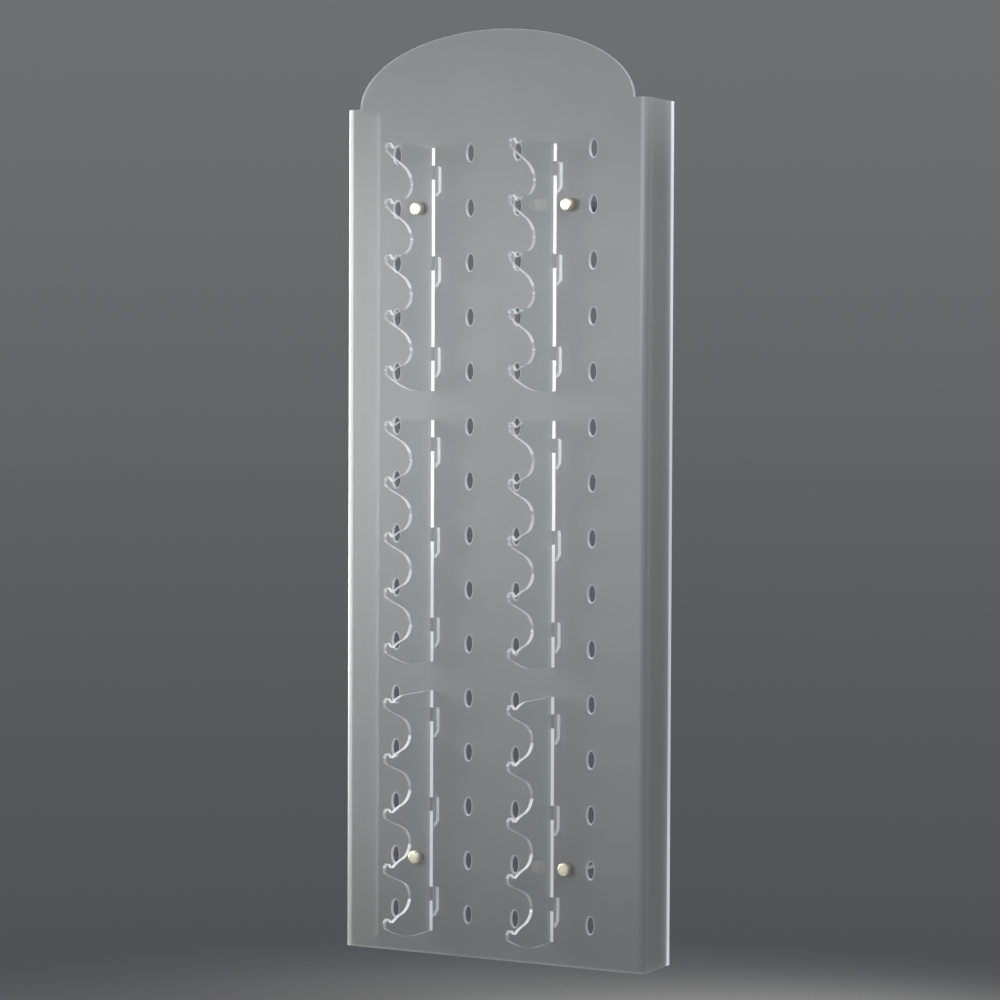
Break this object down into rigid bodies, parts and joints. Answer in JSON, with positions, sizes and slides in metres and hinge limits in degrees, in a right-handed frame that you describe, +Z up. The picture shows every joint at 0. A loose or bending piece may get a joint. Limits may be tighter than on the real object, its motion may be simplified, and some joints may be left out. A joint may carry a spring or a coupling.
{
  "type": "multi glasses organizer",
  "caption": "Wall-mounted frosted acrylic glasses display with an arched head, bent side returns, oval temple holes, lift-off clear nose strips and brass standoffs.",
  "frame": {"origin": "middle of the four wall fixings, on the wall plane at the back of the standoffs and side returns", "axes": "+X to the right for a person facing the display, +Y into the wall, +Z up"},
  "size_m": [0.484, 0.2669, 1.327],
  "materials": {
    "frosted_acrylic": "frosted translucent white acrylic sheet with flame-polished edges",
    "clear_acrylic": "clear cast acrylic with bright polished edges",
    "brass_cap": "pale satin brass",
    "clear_washer": "translucent soft plastic",
    "satin_barrel": "satin turned",
    "zinc_screw": "zinc plated"
  },
  "bodies": {
    "wall panel": {"front_panel": "frosted_acrylic", "cap_top_left": "brass_cap", "cap_top_right": "brass_cap", "cap_bottom_left": "brass_cap", "cap_bottom_right": "brass_cap", "front_washer_top_left": "clear_washer", "front_washer_top_right": "clear_washer", "front_washer_bottom_left": "clear_washer", "front_washer_bottom_right": "clear_washer", "rear_washer_top_left": "clear_washer", "rear_washer_top_right": "clear_washer", "rear_washer_bottom_left": "clear_washer", "rear_washer_bottom_right": "clear_washer", "standoff_barrel_top_left": "satin_barrel", "standoff_barrel_top_right": "satin_barrel", "standoff_barrel_bottom_left": "satin_barrel", "standoff_barrel_bottom_right": "satin_barrel", "wall_screw_top_left": "zinc_screw", "wall_screw_top_right": "zinc_screw", "wall_screw_bottom_left": "zinc_screw", "wall_screw_bottom_right": "zinc_screw"},
    "top left nose strip": {"nose_strip_left_top": "clear_acrylic"},
    "middle left nose strip": {"nose_strip_left_middle": "clear_acrylic"},
    "bottom left nose strip": {"nose_strip_left_bottom": "clear_acrylic"},
    "top right nose strip": {"nose_strip_right_top": "clear_acrylic"},
    "middle right nose strip": {"nose_strip_right_middle": "clear_acrylic"},
    "bottom right nose strip": {"nose_strip_right_bottom": "clear_acrylic"}
  },
  "joints": [
    {"name": "top_left_strip_lift", "type": "slide", "parent": "wall panel", "child": "top left nose strip", "axis": [0, 0, 1], "range_m": [0, 0.0243]},
    {"name": "middle_left_strip_lift", "type": "slide", "parent": "wall panel", "child": "middle left nose strip", "axis": [0, 0, 1], "range_m": [0, 0.0243]},
    {"name": "bottom_left_strip_lift", "type": "slide", "parent": "wall panel", "child": "bottom left nose strip", "axis": [0, 0, 1], "range_m": [0, 0.0243]},
    {"name": "top_right_strip_lift", "type": "slide", "parent": "wall panel", "child": "top right nose strip", "axis": [0, 0, 1], "range_m": [0, 0.0243]},
    {"name": "middle_right_strip_lift", "type": "slide", "parent": "wall panel", "child": "middle right nose strip", "axis": [0, 0, 1], "range_m": [0, 0.0243]},
    {"name": "bottom_right_strip_lift", "type": "slide", "parent": "wall panel", "child": "bottom right nose strip", "axis": [0, 0, 1], "range_m": [0, 0.0243]}
  ]
}
